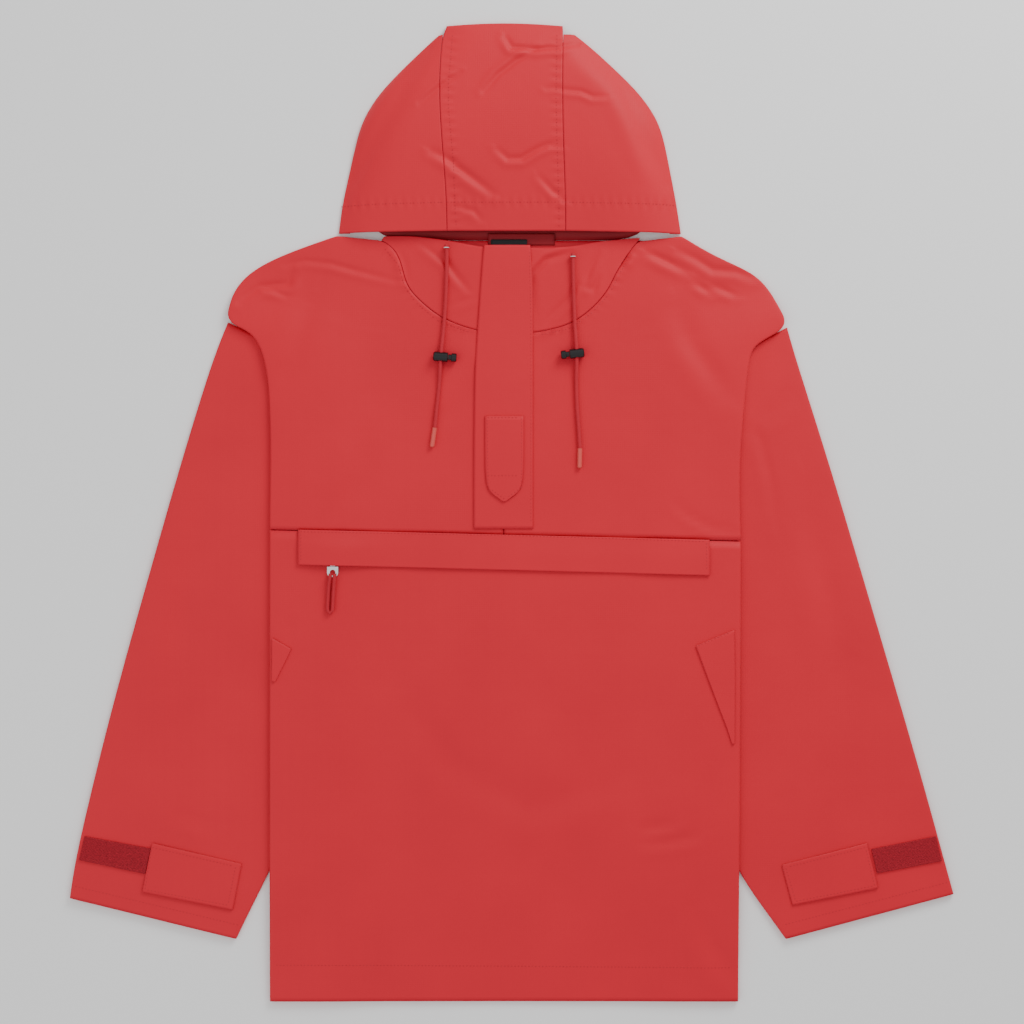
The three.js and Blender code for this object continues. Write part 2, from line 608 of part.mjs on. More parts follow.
// The chest flap's free edge stands off the cloth, most of all over the zip's slider.
const FLAP = { topLeft: -17.8, topRight: -28.2, leftX: -217, rightX: 201, lowLeft: -53.6, lowRight: -64.6 };

function flapBottom(x, y) {
  const across = (x - FLAP.leftX) / (FLAP.rightX - FLAP.leftX);
  const top = mix(FLAP.topLeft, FLAP.topRight, across);
  const low = mix(FLAP.lowLeft, FLAP.lowRight, across);
  const down = (y - top) / (low - top);
  const overSlider = 3.0 * Math.exp(-(((x - PULL_X) / 26) ** 2));
  return onFront(x, y) + smooth(0.1, 0.45, down) * (0.7 + overSlider);
}

function makeChestFlap() {
  const lines = [0, 0.25, 0.45, 0.7, 1].map((down) => line(
    FLAP.leftX, mix(FLAP.topLeft, FLAP.lowLeft, down), FLAP.rightX, mix(FLAP.topRight, FLAP.lowRight, down)));
  return laidWall(lines, 20, flapBottom);
}

function makePocketWelt(side) {
  const rows = {
    left: [line(-243.6, -128, -224.1, -139), line(-243.6, -146, -228, -148), line(-243.6, -161, -235.4, -162),
      line(-243.6, -172, -240.6, -173)],
    right: [line(186.9, -135.9, 226, -119.6), line(191, -147, 226.6, -142), line(199.2, -168.6, 226.8, -166),
      line(211, -200, 226.6, -199), line(220, -222, 226.4, -222), line(224, -236, 226.2, -236)],
  };
  return laidWall(rows[side], 3, onFront);
}

function makeCuffTape(side) {
  const onSleeve = (x, y) => sleeveTop(side, x, y) + TRIM_GAP;
  const lines = {
    left: [line(-434.5, -330, -367.6, -342.5), line(-437.2, -342, -370.4, -355.4), line(-440, -354, -373.2, -368.2)],
    right: [line(431.5, -330, 366.2, -343), line(434.5, -342.4, 369, -355.4), line(437.4, -355, 371.8, -367.6)],
  };
  return laidWall(lines[side], 4, onSleeve, 1.0);
}

function makeCuffTab(side) {
  const onSleeve = (x, y) => sleeveTop(side, x, y) + TRIM_GAP + 0.3;
  const lines = {
    left: [line(-365.9, -336.9, -275.1, -358.3), line(-368.6, -350, -277.4, -370), line(-372.4, -368.6, -280.6, -386.8),
      line(-376.1, -386.8, -284.3, -405.2)],
    right: [line(361.3, -336.9, 275.1, -359.3), line(364, -348, 277.6, -369.4), line(368.3, -365.4, 281.8, -385),
      line(372.6, -382.8, 285.9, -400.1)],
  };
  return laidWall(lines[side], 7, onSleeve, CLOTH);
}

// ---------------------------------------------------------------- cord hardware

function makeDrawcord(side) {
  return roundCord(CORD_ROUTE[side], CORD_DIAMETER / 2, 30);
}

function makeCordTip(side) {
  const route = CORD_ROUTE[side];
  const cordEnd = route[route.length - 1];
  const start = new THREE.Vector3(cordEnd.x, cordEnd.y, cordEnd.z);
  const end = new THREE.Vector3(TIP_END[side].x, TIP_END[side].y, TIP_END[side].z);
  const along = new THREE.Vector3().subVectors(end, start).normalize();
  const profile = [
    { along: 0, radius: 0 }, { along: 0, radius: TIP.radius }, { along: TIP.length - 1, radius: TIP.radius },
    { along: TIP.length, radius: TIP.radius - 0.9 }, { along: TIP.length, radius: 0 },
  ];
  const tip = turned(profile, 12);
  tip.applyQuaternion(new THREE.Quaternion().setFromUnitVectors(new THREE.Vector3(1, 0, 0), along));
  const seat = start.addScaledVector(along, SEAM_GAP);
  return tip.translate(seat.x, seat.y, seat.z);
}

function makeEyelet(side) {
  const { outer, inner, thick } = EYELET;
  const ring = new THREE.LatheGeometry([
    new THREE.Vector2(inner, -thick / 2), new THREE.Vector2(outer, -thick / 2),
    new THREE.Vector2(outer, thick / 2), new THREE.Vector2(inner, thick / 2),
    new THREE.Vector2(inner, -thick / 2),
  ], 20);
  const at = CORD_ROUTE[side][1];
  return ring.translate(at.x, at.y, at.z);
}

// The lock's barrel lies across the cord, which runs through a hole in it.
function makeCordLock(side) {
  const radius = LOCK_DIAMETER / 2;
  const barrel = turned([
    { along: -LOCK_BARREL / 2, radius: 0 }, { along: -LOCK_BARREL / 2, radius: radius - 1.2 },
    { along: -LOCK_BARREL / 2 + 1.2, radius }, { along: LOCK_BARREL / 2 - 0.8, radius },
    { along: LOCK_BARREL / 2, radius: radius - 0.8 }, { along: LOCK_BARREL / 2, radius: 0 },
  ]);
  const hole = new THREE.CylinderGeometry(CORD_DIAMETER / 2 + 0.5, CORD_DIAMETER / 2 + 0.5, LOCK_DIAMETER * 2, 16);
  return placeOnLock(side, fromManifold(toManifold(barrel).subtract(toManifold(hole))));
}

function makePlunger(side) {
  const start = LOCK_BARREL / 2 + SEAM_GAP;
  const plunger = turned([
    { along: start, radius: 0 }, { along: start, radius: 2.9 }, { along: start + 3, radius: 2.9 },
    { along: start + 3.4, radius: 4.3 }, { along: start + 7.6, radius: 4.3 }, { along: start + 8.4, radius: 3.5 },
    { along: start + 8.4, radius: 0 },
  ]);
  return placeOnLock(side, plunger);
}

function placeOnLock(side, geometry) {
  const lock = LOCK[side];
  if (lock.barrelSide > 0) geometry.rotateZ(Math.PI);
  geometry.rotateZ(THREE.MathUtils.degToRad(lock.tilt));
  return geometry.translate(lock.x, lock.y, lock.z);
}

// ---------------------------------------------------------------- pocket zip pull

const PULL_TOP = -55.6;                                  // upper edge of the pull tab's head
const pullBase = frontTop(PULL_X, PULL_TOP - 5) + TRIM_GAP;

function makePullTab() {
  const { width, length, thick, hole } = PULL_TAB;
  const half = width / 2;
  const shape = new THREE.Shape();
  shape.moveTo(-half, 0);
  shape.lineTo(-half, -length + 4.4);
  shape.absarc(-half + 4.4, -length + 4.4, 4.4, Math.PI, 1.5 * Math.PI, false);
  shape.lineTo(half - 4.4, -length);
  shape.absarc(half - 4.4, -length + 4.4, 4.4, 1.5 * Math.PI, 2 * Math.PI, false);
  shape.lineTo(half, 0);
  shape.closePath();
  const bore = new THREE.Path();
  bore.absarc(0, -length + hole + 1.7, hole, 0, 2 * Math.PI, true);
  shape.holes.push(bore);
  const tab = new THREE.ExtrudeGeometry(shape, { depth: thick, bevelEnabled: false, curveSegments: 6 });
  return tab.translate(PULL_X, PULL_TOP, pullBase);
}

// The cord loop on the tab. Its two ends stop over the tab's hole, which they pass through.
function makePullLoop() {
  const route = [
    { x: -184.0, y: -62.6, z: 4.2 }, { x: -184.6, y: -68, z: 4.0 }, { x: -185.6, y: -75, z: 2.7 },
    { x: -186.5, y: -88, z: 2.0 }, { x: -186.9, y: -98, z: 2.0 }, { x: -186.2, y: -101.4, z: 2.0 },
    { x: -184.4, y: -102.6, z: 2.0 }, { x: -182.6, y: -101.4, z: 2.0 }, { x: -181.9, y: -98, z: 2.0 },
    { x: -181.3, y: -88, z: 2.0 }, { x: -180.5, y: -75, z: 2.7 }, { x: -179.9, y: -68, z: 4.0 },
    { x: -179.6, y: -62.6, z: 4.2 },
  ].map(({ x, y, z }) => ({ x, y, z: z + pullBase }));
  return roundCord(route, 1.8, 24);
}

// The slider, hidden under the flap, with a nose that reaches to the tab's head.
function makeSlider() {
  const shape = new THREE.Shape([
    new THREE.Vector2(-2.4, -0.4), new THREE.Vector2(2.4, -0.4), new THREE.Vector2(4, 3), new THREE.Vector2(4, 9.5),
    new THREE.Vector2(1.6, 11), new THREE.Vector2(-1.6, 11), new THREE.Vector2(-4, 9.5), new THREE.Vector2(-4, 3),
  ]);
  const slider = new THREE.ExtrudeGeometry(shape, { depth: 2.2, bevelEnabled: false });
  return slider.translate(PULL_X, PULL_TOP + 0.9, pullBase + 0.3);
}

// ---------------------------------------------------------------- the parka

addPiece('back', makeBack(), RED);
addPiece('front_lower', makeLowerFront(), RED);
for (const side of ['left', 'right']) {
  addPiece(`front_upper_${side}`, makeUpperFront(side), RED);
  addPiece(`sleeve_${side}`, makeSleeve(side), RED);
  addPiece(`hood_neck_${side}`, makeHoodNeck(side), RED);
  addPiece(`hood_side_${side}`, makeHoodSide(side), RED);
  addPiece(`pocket_welt_${side}`, makePocketWelt(side), RED);
  addPiece(`cuff_tape_${side}`, makeCuffTape(side), DARK_RED, 0.95);
  addPiece(`cuff_tab_${side}`, makeCuffTab(side), RED);
  addPiece(`eyelet_${side}`, makeEyelet(side), 0xd8d8d8, 0.3, 1);
  addPiece(`drawcord_${side}`, makeDrawcord(side), RED, 0.85);
  addPiece(`cord_tip_${side}`, makeCordTip(side), 0xd94b46, 0.4);
  addPiece(`cord_lock_${side}`, makeCordLock(side), BLACK, 0.3);
  addPiece(`cord_plunger_${side}`, makePlunger(side), BLACK, 0.3);
}
addPiece('hood_centre', makeHoodCentre(), RED);
addPiece('hood_back', makeHoodBack(), DARK_RED);
addPiece('placket', makePlacket(), RED);
addPiece('placket_tab', makePlacketTab(), RED);
addPiece('chest_flap', makeChestFlap(), RED);
addPiece('neck_tape', laidWall([line(-24, 284, 44, 284), line(-24, 272, 44, 272)], 2, () => CLOTH + TRIM_GAP, 0.8),
  DARK_RED);
addPiece('neck_label', laidWall([line(-21.2, 277.6, 15.6, 277.6), line(-21.2, 266, 15.6, 266)], 2,
  () => CLOTH + 2 * TRIM_GAP + 0.8, 0.8), BLACK);
addPiece('zip_slider', makeSlider(), 0xe4e4e4, 0.35, 1);
addPiece('pull_tab', makePullTab(), 0xf0f0f0, 0.3, 1);
addPiece('pull_loop', makePullLoop(), RED, 0.85);

export default group;
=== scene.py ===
"""A hooded pullover parka laid flat, face up: cloth, cords, hardware, floor, light and camera."""

import math

import bmesh
import bpy
import numpy as np
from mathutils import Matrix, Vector
from mathutils.bvhtree import BVHTree


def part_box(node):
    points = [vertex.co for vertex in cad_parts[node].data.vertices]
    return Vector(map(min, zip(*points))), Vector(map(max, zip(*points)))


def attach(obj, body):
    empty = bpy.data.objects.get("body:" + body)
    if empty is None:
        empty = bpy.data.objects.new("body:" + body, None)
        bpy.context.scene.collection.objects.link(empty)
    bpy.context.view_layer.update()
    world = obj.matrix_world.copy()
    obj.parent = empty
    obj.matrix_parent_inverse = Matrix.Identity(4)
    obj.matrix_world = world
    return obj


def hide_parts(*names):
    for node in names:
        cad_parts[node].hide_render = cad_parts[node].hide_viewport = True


bl_info = {
    "name": "Flat Parka",
    "version": (1, 0, 0),
    "blender": (4, 5, 0),
    "location": "View3D > Sidebar > Parka",
    "description": "Builds a hooded pullover parka laid flat on a pale floor",
    "category": "Object",
}

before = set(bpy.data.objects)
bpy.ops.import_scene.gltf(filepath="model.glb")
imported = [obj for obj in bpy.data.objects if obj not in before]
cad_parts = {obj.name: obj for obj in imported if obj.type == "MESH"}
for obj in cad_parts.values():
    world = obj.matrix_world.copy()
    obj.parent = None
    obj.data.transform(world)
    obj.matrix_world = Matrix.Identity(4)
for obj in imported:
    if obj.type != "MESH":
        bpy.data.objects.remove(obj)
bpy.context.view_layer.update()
MM = 0.001
BODY = "garment"

# Creases pressed or pulled into the cloth, in millimetres. Each is a soft trough along its
# points with a low ridge beside it; width and depth are the trough's.
CREASES = [
    {"at": "hood", "width": 3.0, "depth": 2.0, "points": [(-6, 482), (0, 472), (25, 470), (49, 472), (66, 476)]},
    {"at": "hood", "width": 3.0, "depth": 1.6, "points": [(25, 469), (5, 458), (-14, 443), (-28, 426)]},
    {"at": "hood", "width": 2.6, "depth": 1.2, "points": [(36, 429), (49, 428), (70, 426), (82, 421), (96, 421)]},
    {"at": "hood", "width": 2.6, "depth": 1.2, "points": [(-52, 445), (-70, 433), (-93, 414)]},
    {"at": "hood", "width": 4.0, "depth": 2.4, "points": [(-80, 365), (-65, 358), (-53, 348), (-38, 337), (-19, 323)]},
    {"at": "hood", "width": 3.0, "depth": 1.8, "points": [(-14, 367), (-4, 358), (10, 358), (25, 367), (37, 372), (49, 370)]},
    {"at": "hood", "width": 3.0, "depth": 1.4, "points": [(28, 340), (42, 325), (54, 316)]},
    {"at": "hood", "width": 3.0, "depth": 1.2, "points": [(-53, 309), (-38, 305), (-31, 297)]},
    {"at": "hood", "width": 9.0, "depth": 2.2, "points": [(-88, 471), (-116, 415), (-141, 374), (-154, 350), (-167, 323)]},
    {"at": "hood", "width": 8.0, "depth": 1.6, "points": [(70, 472), (108, 438), (123, 409), (140, 367), (157, 335)]},
    {"at": "front", "width": 4.0, "depth": 2.0, "points": [(-277, 215), (-257, 229), (-228, 233), (-224, 243)]},
    {"at": "front", "width": 3.0, "depth": 1.4, "points": [(-230, 252), (-211, 256), (-184, 253), (-159, 246), (-119, 236)]},
    {"at": "front", "width": 3.0, "depth": 1.2, "points": [(-248, 227), (-228, 220)]},
    {"at": "front", "width": 3.4, "depth": 2.2, "points": [(-120, 271), (-112, 262), (-108, 250), (-105, 236)]},
    {"at": "front", "width": 3.4, "depth": 2.4, "points": [(-96, 277), (-80, 264), (-66, 254), (-56, 240), (-44, 226)]},
    {"at": "front", "width": 3.0, "depth": 1.4, "points": [(-63, 209), (-38, 219)]},
    {"at": "front", "width": 10.0, "depth": 1.6, "points": [(-204, 210), (-221, 154), (-241, 127)]},
    {"at": "front", "width": 10.0, "depth": 1.4, "points": [(-41, 143), (-56, 108), (-71, 90)]},
    {"at": "front", "width": 12.0, "depth": 1.2, "points": [(-146, 75), (-154, 35), (-169, 3)]},
    {"at": "front", "width": 3.2, "depth": 2.0, "points": [(32, 186), (40, 199), (57, 216), (66, 232)]},
    {"at": "front", "width": 3.4, "depth": 2.0, "points": [(75, 233), (80, 248), (87, 262)]},
    {"at": "front", "width": 3.0, "depth": 1.4, "points": [(73, 229), (84, 227)]},
    {"at": "front", "width": 3.0, "depth": 1.6, "points": [(82, 221), (88, 238)]},
    {"at": "front", "width": 4.0, "depth": 2.4, "points": [(109, 249), (119, 267)]},
    {"at": "front", "width": 3.0, "depth": 2.4, "points": [(59, 264), (35, 257), (20, 241), (25, 184)]},
    {"at": "front", "width": 4.0, "depth": 2.0, "points": [(140, 264), (155, 257), (178, 246)]},
    {"at": "front", "width": 4.0, "depth": 1.8, "points": [(171, 266), (188, 258), (205, 247), (228, 245), (245, 239)]},
    {"at": "front", "width": 3.4, "depth": 1.4, "points": [(188, 233), (203, 223)]},
    {"at": "front", "width": 3.4, "depth": 1.4, "points": [(205, 231), (228, 221)]},
    {"at": "front", "width": 10.0, "depth": 1.6, "points": [(171, 206), (184, 171), (205, 140), (219, 121)]},
    {"at": "front", "width": 3.4, "depth": 1.2, "points": [(165, 8), (184, -7), (205, -17), (230, -22)]},
    {"at": "front", "width": 4.0, "depth": 1.4, "points": [(-240, -110), (-220, -123)]},
    {"at": "front", "width": 5.0, "depth": 1.6, "points": [(131, -323), (165, -318)]},
    {"at": "front", "width": 5.0, "depth": 1.4, "points": [(131, -337), (161, -335), (189, -330)]},
    {"at": "front", "width": 10.0, "depth": 1.4, "points": [(189, -403), (202, -437), (223, -470), (228, -480)]},
    {"at": "front", "width": 14.0, "depth": 1.2, "points": [(-120, -170), (-60, -260), (20, -300), (90, -280)]},
    {"at": "sleeve", "width": 9.0, "depth": 1.4, "points": [(251, 171), (247, 108)]},
    {"at": "sleeve", "width": 5.0, "depth": 1.6, "points": [(257, 95), (271, 103), (286, 118)]},
    {"at": "sleeve", "width": 5.0, "depth": 1.4, "points": [(238, 81), (253, 79), (264, 31), (269, -13)]},
    {"at": "sleeve", "width": 5.0, "depth": 1.6, "points": [(-344, -308), (-327, -313), (-303, -324)]},
    {"at": "sleeve", "width": 14.0, "depth": 1.5, "points": [(-300, 60), (-330, -60), (-345, -170)]},
    {"at": "sleeve", "width": 14.0, "depth": 1.5, "points": [(300, 20), (325, -90), (340, -200)]},
]

# Stitch lines, in millimetres.
STITCHES = [
    [(-174, 311), (-66, 314), (54, 314), (168, 312)],
    [(-60, 485), (-64, 435), (-64, 410), (-59, 354), (-57, 300), (-56, 288)],
    [(46, 485), (45, 420), (46, 369), (48, 313), (48, 288)],
    [(-240, -461), (225, -464)],
    [(18, 265), (19.6, 200), (19.6, -14)],
    [(-25, 96), (10, 96), (10, 25), (-7, 13), (-24, 25), (-25, 96)],
    [(-25, 37), (10, 37)],
    [(-215, -20), (7, -24), (199, -30)],
    [(-214, -22), (-214, -52)],
    [(198, -31), (198, -62)],
    [(189, -136), (222, -122)],
    [(-366, -341), (-281, -361), (-289, -400), (-373, -384), (-366, -341)],
    [(360, -341), (279, -362), (289, -396), (369, -380), (360, -341)],
    [(-431, -331), (-369, -343)],
    [(-437, -352), (-374, -366)],
    [(428, -331), (369, -343)],
    [(434, -354), (374, -366)],
    [(-448, -380), (-276, -421)],
    [(447, -376), (274, -421)],
    [(-129, 268), (-115, 251), (-109, 229), (-97, 213), (-76, 195), (-41, 182)],
    [(122, 264), (109, 241), (100, 223), (82, 203), (60, 187), (28, 180)],
]

CORD_ROUTE = {
    "left": [(-66.4, 271.6, 10.2), (-66.2, 268.5, 10.2), (-66, 262, 9.8), (-66, 250, 9.2), (-66.4, 234, 8.9),
             (-67.1, 216, 8.4), (-68.2, 200, 7.9), (-69.4, 184, 7.9), (-70.8, 172, 9.2), (-72.2, 157.8, 10.4),
             (-72.8, 144, 9.2), (-73.4, 132, 7.7), (-75, 116, 7.5), (-76.6, 102, 7.5), (-78.2, 86, 7.5)],
    "right": [(62.2, 262.6, 9.9), (62.3, 259.5, 9.9), (62.4, 252, 9.4), (62.6, 240, 8.9), (63, 224, 8.4),
              (63.6, 206, 7.9), (64.2, 190, 7.9), (65.2, 177, 9.2), (66.2, 161.2, 10.4), (66, 147, 9.2),
              (65.6, 134.4, 7.7), (66, 118, 7.5), (66.8, 102, 7.5), (68.2, 84, 7.5), (69.4, 65, 7.5)],
}


def linear(hex_colour):
    """An sRGB hex colour as linear RGBA."""
    parts = [int(hex_colour[i:i + 2], 16) / 255 for i in (1, 3, 5)]
    return [c / 12.92 if c <= 0.04045 else ((c + 0.055) / 1.055) ** 2.4 for c in parts] + [1.0]


def add_node(tree, kind, settings=None, links=None):
    """Adds a node, gives it its settings, and links its inputs to (node, output) pairs."""
    node = tree.nodes.new(kind)
    for key, value in (settings or {}).items():
        if isinstance(key, str) and hasattr(node, key):
            setattr(node, key, value)
        else:
            node.inputs[key].default_value = value
    for key, (source, output) in (links or {}).items():
        tree.links.new(source.outputs[output], node.inputs[key])
    return node


def new_material(name):
    material = bpy.data.materials.new(name)
    material.use_nodes = True
    return material, material.node_tree, material.node_tree.nodes["Principled BSDF"]


def woven_cloth(name, colour, dark, thread_mm=1.1, roughness=0.6, bump=0.25):
    """Tightly woven cotton and nylon poplin: fine crossed threads, a faint sheen, cloudy tone."""
    material, tree, shader = new_material(name)
    place = add_node(tree, "ShaderNodeTexCoord")
    cloud = add_node(tree, "ShaderNodeTexNoise", {"Scale": 9.0, "Detail": 4.0}, {"Vector": (place, "Object")})
    tone = add_node(tree, "ShaderNodeMix", {"data_type": "RGBA", 6: linear(dark), 7: linear(colour)},
                    {0: (cloud, "Fac")})
    tree.links.new(tone.outputs[2], shader.inputs["Base Color"])
    turns = math.pi / (thread_mm * MM) / 10
    warp = add_node(tree, "ShaderNodeTexWave", {"bands_direction": "X", "Scale": turns / 2, "Distortion": 0.4},
                    {"Vector": (place, "Object")})
    weft = add_node(tree, "ShaderNodeTexWave", {"bands_direction": "Y", "Scale": turns / 2, "Distortion": 0.4},
                    {"Vector": (place, "Object")})
    weave = add_node(tree, "ShaderNodeMath", {"operation": "ADD"}, {0: (warp, "Fac"), 1: (weft, "Fac")})
    rumple = add_node(tree, "ShaderNodeTexNoise", {"Scale": 60.0, "Detail": 5.0}, {"Vector": (place, "Object")})
    fine = add_node(tree, "ShaderNodeBump", {"Strength": bump, "Distance": 0.00012}, {"Height": (weave, "Value")})
    soft = add_node(tree, "ShaderNodeBump", {"Strength": 0.5, "Distance": 0.0006},
                    {"Height": (rumple, "Fac"), "Normal": (fine, "Normal")})
    tree.links.new(soft.outputs["Normal"], shader.inputs["Normal"])
    shader.inputs["Roughness"].default_value = roughness
    shader.inputs["Sheen Weight"].default_value = 0.12
    shader.inputs["Sheen Roughness"].default_value = 0.4
    shader.inputs["Specular IOR Level"].default_value = 0.35
    return material


def rough_solid(name, colour, roughness, metallic=0.0, grain=400.0, depth=0.00008, spread=0.12):
    """Moulded plastic, cast metal, cord or pile: one colour broken up by a fine grain."""
    material, tree, shader = new_material(name)
    place = add_node(tree, "ShaderNodeTexCoord")
    noise = add_node(tree, "ShaderNodeTexNoise", {"Scale": grain, "Detail": 3.0}, {"Vector": (place, "Object")})
    darker = [c * (1 - spread) for c in linear(colour)[:3]] + [1.0]
    tone = add_node(tree, "ShaderNodeMix", {"data_type": "RGBA", 6: darker, 7: linear(colour)}, {0: (noise, "Fac")})
    tree.links.new(tone.outputs[2], shader.inputs["Base Color"])
    bump = add_node(tree, "ShaderNodeBump", {"Strength": 0.5, "Distance": depth}, {"Height": (noise, "Fac")})
    tree.links.new(bump.outputs["Normal"], shader.inputs["Normal"])
    shader.inputs["Roughness"].default_value = roughness
    shader.inputs["Metallic"].default_value = metallic
    return material


MATERIALS = {}


def material_for(kind):
    if kind not in MATERIALS:
        look = bpy.context.scene.parka_look
        makers = {
            "shell": lambda: woven_cloth("Red_Poplin_Woven", look.shell, look.shell_dark),
            # The inside cloth is the shell poplin painted darker: painted shade for the hood's under layer and neck
            # tape in the shadowed neck slit.
            "inside": lambda: woven_cloth("Red_Poplin_Painted_Shade", "#A00A1C", "#86071A"),
            "cord": lambda: rough_solid("Red_Cord_Braided", "#CC142C", 0.8, grain=900, depth=0.0003, spread=0.4),
            "tip": lambda: rough_solid("Light_Red_Plastic_Moulded", "#D94B46", 0.35),
            "black": lambda: rough_solid("Black_Acetal_Moulded", "#101012", 0.25),
            "metal": lambda: rough_solid("Bright_Zinc_Cast", "#F2F2F2", 0.3, metallic=1.0, grain=250, depth=0.00003),
            "pile": lambda: rough_solid("Red_Loop_Tape_Pile", "#C01A30", 0.95, grain=700, depth=0.0014, spread=0.7),
            "label": lambda: rough_solid("Black_Label_Woven", "#101012", 0.7, grain=900),
            "thread": lambda: rough_solid("Red_Thread_Twisted", "#B80E24", 0.6, grain=900),
        }
        MATERIALS[kind] = makers[kind]()
    return MATERIALS[kind]


def crease_height(x, y, place):
    """How far the creases of one place move the cloth at points x, y, in millimetres."""
    lift = np.zeros_like(x)
    for crease in CREASES:
        if crease["at"] != place:
            continue
        points = crease["points"]
        nearest = np.full_like(x, 1e9)
        signed = np.zeros_like(x)
        along = np.zeros_like(x)
        count = len(points) - 1
        for i in range(count):
            (ax, ay), (bx, by) = points[i], points[i + 1]
            dx, dy = bx - ax, by - ay
            share = np.clip(((x - ax) * dx + (y - ay) * dy) / (dx * dx + dy * dy), 0, 1)
            gap = np.hypot(x - ax - share * dx, y - ay - share * dy)
            side = np.sign((x - ax) * dy - (y - ay) * dx)
            closer = gap < nearest
            nearest = np.where(closer, gap, nearest)
            signed = np.where(closer, gap * side, signed)
            along = np.where(closer, (i + share) / count, along)
        width = crease["width"]
        taper = 0.25 + 0.75 * np.sin(np.pi * np.clip(along, 0.02, 0.98)) ** 0.7
        trough = -np.exp(-((signed / width) ** 2))
        ridge = 0.7 * np.exp(-(((signed - 1.9 * width) / (1.3 * width)) ** 2))
        lift += crease["depth"] * taper * (trough + ridge)
    return lift


def soft_waves(x, y):
    """Low, uneven swells that loosely laid cloth holds, in millimetres."""
    return (0.35 * np.sin(x / 41 + y / 67) + 0.3 * np.sin(x / 23 - y / 51 + 1.3)
            + 0.22 * np.sin(x / 97 + y / 29 + 2.1))


def pucker(x, y, lines):
    """Small even gathers across sewn seams, in millimetres."""
    lift = np.zeros_like(x)
    for points in lines:
        for (ax, ay), (bx, by) in zip(points, points[1:]):
            dx, dy = bx - ax, by - ay
            length = math.hypot(dx, dy)
            share = np.clip(((x - ax) * dx + (y - ay) * dy) / length ** 2, 0, 1)
            gap = np.hypot(x - ax - share * dx, y - ay - share * dy)
            inside = (share > 0) & (share < 1)
            lift += np.where(inside, 0.35 * np.exp(-((gap / 5) ** 2)) * np.sin(share * length / 1.5), 0)
    return lift


def cloth_from_node(node, name, levels, place, pucker_lines=()):
    """A cloth panel on its solid's form: merged, subdivided, then creased."""
    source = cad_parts[node]
    mesh = source.data.copy()
    piece = bpy.data.objects.new(name, mesh)
    bpy.context.scene.collection.objects.link(piece)
    work = bmesh.new()
    work.from_mesh(mesh)
    bmesh.ops.remove_doubles(work, verts=work.verts, dist=0.00002)
    bmesh.ops.join_triangles(work, faces=work.faces, angle_face_threshold=1.0, angle_shape_threshold=3.1,
                             cmp_seam=False, cmp_sharp=False, cmp_uvs=False, cmp_materials=False)
    layer = work.edges.layers.float.new("crease_edge")
    for edge in work.edges:
        if len(edge.link_faces) == 2 and edge.calc_face_angle(0) > math.radians(60):
            edge[layer] = 1.0
    work.to_mesh(mesh)
    work.free()
    bpy.ops.object.select_all(action="DESELECT")
    piece.select_set(True)
    bpy.context.view_layer.objects.active = piece
    subdivide = piece.modifiers.new("Subdivision", "SUBSURF")
    subdivide.levels = levels
    subdivide.render_levels = levels
    bpy.ops.object.modifier_apply(modifier=subdivide.name)
    count = len(mesh.vertices)
    points = np.empty(count * 3)
    mesh.vertices.foreach_get("co", points)
    points = points.reshape(-1, 3) / MM
    x, y, z = points.T
    low, high = z.min(), z.max()
    upper = np.clip((z - low - 1.5) / 2.5, 0, 1) if high - low > 3 else np.ones_like(z)
    lift = soft_waves(x, y) * 0.6 + pucker(x, y, pucker_lines)
    if place:
        lift += crease_height(x, y, place)
    points[:, 2] = np.maximum(z + upper * lift, 0.0)
    mesh.vertices.foreach_set("co", (points * MM).ravel())
    mesh.update()
    for polygon in mesh.polygons:
        polygon.use_smooth = True
    mesh.materials.clear()
    return piece


def finish_piece(piece, kind, node=None, body=BODY):
    piece.data.materials.clear()
    piece.data.materials.append(material_for(kind))
    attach(piece, body)
    if node:
        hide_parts(node)


def box_mm(node):
    low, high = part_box(node)
    return np.array(low) / MM, np.array(high) / MM


SHEETS = {}


def make_sheet(node, levels, place, flat, held="laid", area=None, pucker_lines=(), kind="shell", slot="shell_cloth"):
    piece = cloth_from_node(node, f"{node}_cloth", levels, place, pucker_lines)
    finish_piece(piece, kind, node)
    SHEETS[node] = piece
    return piece


def panel_area(piece):
    """Half of a closed panel's skin, which is the area of the cloth it is cut from, in m2."""
    return sum(polygon.area for polygon in piece.data.polygons) / 2


def sheet_like(node, levels, place, pucker_lines=(), kind="shell"):
    """A cloth panel whose cut is its own shape: the box around the cut is sized but not used."""
    piece = cloth_from_node(node, f"{node}_cloth", levels, place, pucker_lines)
    finish_piece(piece, kind, node)
    low, high = box_mm(node)
    area = panel_area(piece)
    width, length = (high[0] - low[0]) * MM, (high[1] - low[1]) * MM
    if area > width * length * 0.98:
        grow = area / (width * length) * 1.03
        width *= grow
    SHEETS[node] = piece
    return piece


class ParkaLook(bpy.types.PropertyGroup):
    """Sizes and colours a user would change."""
    shell: bpy.props.StringProperty(name="Shell colour", description="Bright tone of the shell cloth", default="#D80F2A")
    shell_dark: bpy.props.StringProperty(name="Shell shade", description="Dark tone of the shell", default="#C80C26")
    stitch_length: bpy.props.FloatProperty(name="Stitch length", description="Length of one stitch",
                                           default=0.0026, unit="LENGTH")
    thread: bpy.props.FloatProperty(name="Thread", description="Width of the thread", default=0.0006, unit="LENGTH")
    cord: bpy.props.FloatProperty(name="Cord", description="Diameter of the drawcord", default=0.004, unit="LENGTH")


class ParkaOperator(bpy.types.Operator):
    bl_options = {"REGISTER"}

    def execute(self, context):
        self.make(context.scene.parka_look)
        return {"FINISHED"}


